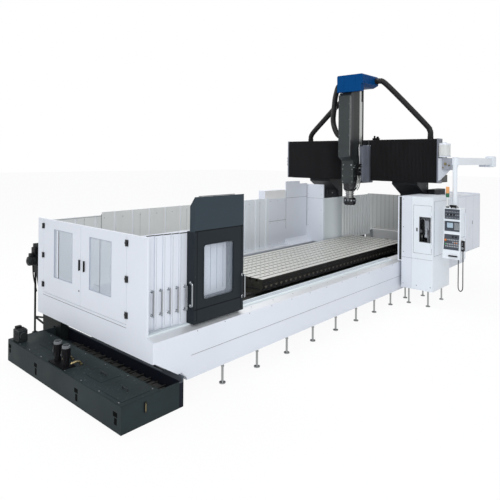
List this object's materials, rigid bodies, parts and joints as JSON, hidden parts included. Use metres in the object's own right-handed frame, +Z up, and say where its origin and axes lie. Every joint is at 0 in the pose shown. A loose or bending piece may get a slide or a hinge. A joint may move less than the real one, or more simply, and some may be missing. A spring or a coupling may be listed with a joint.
{
  "type": "double column machining center",
  "caption": "Large bridge-type milling machine with a travelling table, open enclosure, telescoping doors, hanging console, tool cabinet, coolant tank and chip conveyors.",
  "frame": {"origin": "centre of the bed's sole, on the floor", "axes": "+X along the bed, away from the coolant tank; -Y towards the operator's side; +Z up"},
  "size_m": [10.88, 5.072, 4.93],
  "materials": {
    "white_enamel": "satin",
    "anthracite_enamel": "satin",
    "machine_gray": "satin",
    "saddle_gray": "satin",
    "black_moulding": "matte",
    "bellows_cloth": "matte",
    "blue_enamel": "satin",
    "ground_steel": "ground",
    "window_glass": "clear",
    "lamp_amber": "gloss"
  },
  "bodies": {
    "root": {"bed": "machine_gray", "column_far": "machine_gray", "column_near": "machine_gray", "crossbeam": "machine_gray", "beam_cover_far": "saddle_gray", "beam_cover_near": "saddle_gray", "bellows_far": "bellows_cloth", "bellows_near": "bellows_cloth", "hose_far": "black_moulding", "hose_near": "black_moulding", "lubrication_unit": "white_enamel", "arm_bracket": "white_enamel", "end_frame": "white_enamel", "wall_far": "white_enamel", "wall_far_end": "white_enamel", "wall_near": "white_enamel", "near_post": "white_enamel", "skirt_near": "white_enamel", "skirt_far": "white_enamel", "door_track": "anthracite_enamel", "guard_far": "white_enamel", "guard_passage": "white_enamel", "magazine_cabinet": "white_enamel", "magazine_drum": "ground_steel", "electrical_cabinet": "white_enamel", "tank": "anthracite_enamel", "chip_chain": "black_moulding", "tank_motor": "black_moulding", "chip_conveyor": "anthracite_enamel", "conveyor_drive": "machine_gray", "coolant_pumps": "black_moulding", "pan_near": "white_enamel", "pan_far": "white_enamel"},
    "table": {"table": "ground_steel"},
    "saddle": {"saddle": "saddle_gray"},
    "ram": {"ram": "machine_gray", "ram_cover": "machine_gray", "ram_cap": "blue_enamel", "spindle_housing": "anthracite_enamel", "hose_ram": "black_moulding"},
    "spindle": {"spindle": "ground_steel"},
    "end_door_far": {"end_door_far": "white_enamel", "end_window_far": "window_glass"},
    "end_door_near": {"end_door_near": "white_enamel", "end_window_near": "window_glass"},
    "slide_panel_1": {"slide_panel_1": "white_enamel"},
    "slide_panel_2": {"slide_panel_2": "white_enamel"},
    "slide_panel_3": {"slide_panel_3": "white_enamel"},
    "slide_panel_4": {"slide_panel_4": "white_enamel"},
    "slide_panel_5": {"slide_panel_5": "white_enamel"},
    "operator_door": {"operator_door": "anthracite_enamel", "operator_window": "window_glass"},
    "magazine_door": {"magazine_door": "white_enamel", "magazine_window": "window_glass"},
    "console_arm": {"console_arm": "white_enamel"},
    "console": {"console_box": "white_enamel", "signal_lamp": "lamp_amber", "pendant": "black_moulding", "pendant_cord": "black_moulding"}
  },
  "joints": [
    {"name": "table_slide", "type": "slide", "parent": "root", "child": "table", "axis": [1, 0, 0], "range_m": [-2.6, 1.9]},
    {"name": "saddle_slide", "type": "slide", "parent": "root", "child": "saddle", "axis": [0, 1, 0], "range_m": [-0.44, 0.76], "deforming": ["bellows_far", "bellows_near", "hose_far", "hose_near"]},
    {"name": "ram_slide", "type": "slide", "parent": "saddle", "child": "ram", "axis": [0, 0, 1], "range_m": [-0.8, 0.1], "deforming": ["hose_far", "hose_near"]},
    {"name": "spindle_turn", "type": "hinge", "parent": "ram", "child": "spindle", "pos_m": [1.47, -0.165, 2], "axis": [0, 0, 1], "continuous": true},
    {"name": "end_door_far_hinge", "type": "hinge", "parent": "root", "child": "end_door_far", "pos_m": [-5.2025, 1.223, 1.5], "axis": [0, 0, 1], "range_deg": [-100, 0]},
    {"name": "end_door_near_hinge", "type": "hinge", "parent": "root", "child": "end_door_near", "pos_m": [-5.2025, -0.985, 1.5], "axis": [0, 0, 1], "range_deg": [0, 100]},
    {"name": "operator_door_slide", "type": "slide", "parent": "root", "child": "operator_door", "axis": [1, 0, 0], "range_m": [0, 4.8]},
    {"name": "slide_panel_1_slide", "type": "slide", "parent": "root", "child": "slide_panel_1", "axis": [1, 0, 0], "range_m": [0, 0.8]},
    {"name": "slide_panel_2_slide", "type": "slide", "parent": "root", "child": "slide_panel_2", "axis": [1, 0, 0], "range_m": [0, 1.6]},
    {"name": "slide_panel_3_slide", "type": "slide", "parent": "root", "child": "slide_panel_3", "axis": [1, 0, 0], "range_m": [0, 2.4]},
    {"name": "slide_panel_4_slide", "type": "slide", "parent": "root", "child": "slide_panel_4", "axis": [1, 0, 0], "range_m": [0, 3.2]},
    {"name": "slide_panel_5_slide", "type": "slide", "parent": "root", "child": "slide_panel_5", "axis": [1, 0, 0], "range_m": [0, 4]},
    {"name": "magazine_door_hinge", "type": "hinge", "parent": "root", "child": "magazine_door", "pos_m": [1.1875, -2.22, 1.5], "axis": [0, 0, 1], "range_deg": [0, 100]},
    {"name": "console_arm_swing", "type": "hinge", "parent": "root", "child": "console_arm", "pos_m": [4.05, -2.5, 2.9], "axis": [0, 0, 1], "range_deg": [0, 90]},
    {"name": "console_swivel", "type": "hinge", "parent": "console_arm", "child": "console", "pos_m": [1.35, -2.62, 2], "axis": [0, 0, 1], "range_deg": [-30, 90]}
  ],
  "couplings": [
    {"joint": "slide_panel_1_slide", "follows": "operator_door_slide", "ratio": 0.16667},
    {"joint": "slide_panel_2_slide", "follows": "operator_door_slide", "ratio": 0.33333},
    {"joint": "slide_panel_3_slide", "follows": "operator_door_slide", "ratio": 0.5},
    {"joint": "slide_panel_4_slide", "follows": "operator_door_slide", "ratio": 0.66667},
    {"joint": "slide_panel_5_slide", "follows": "operator_door_slide", "ratio": 0.83333}
  ]
}
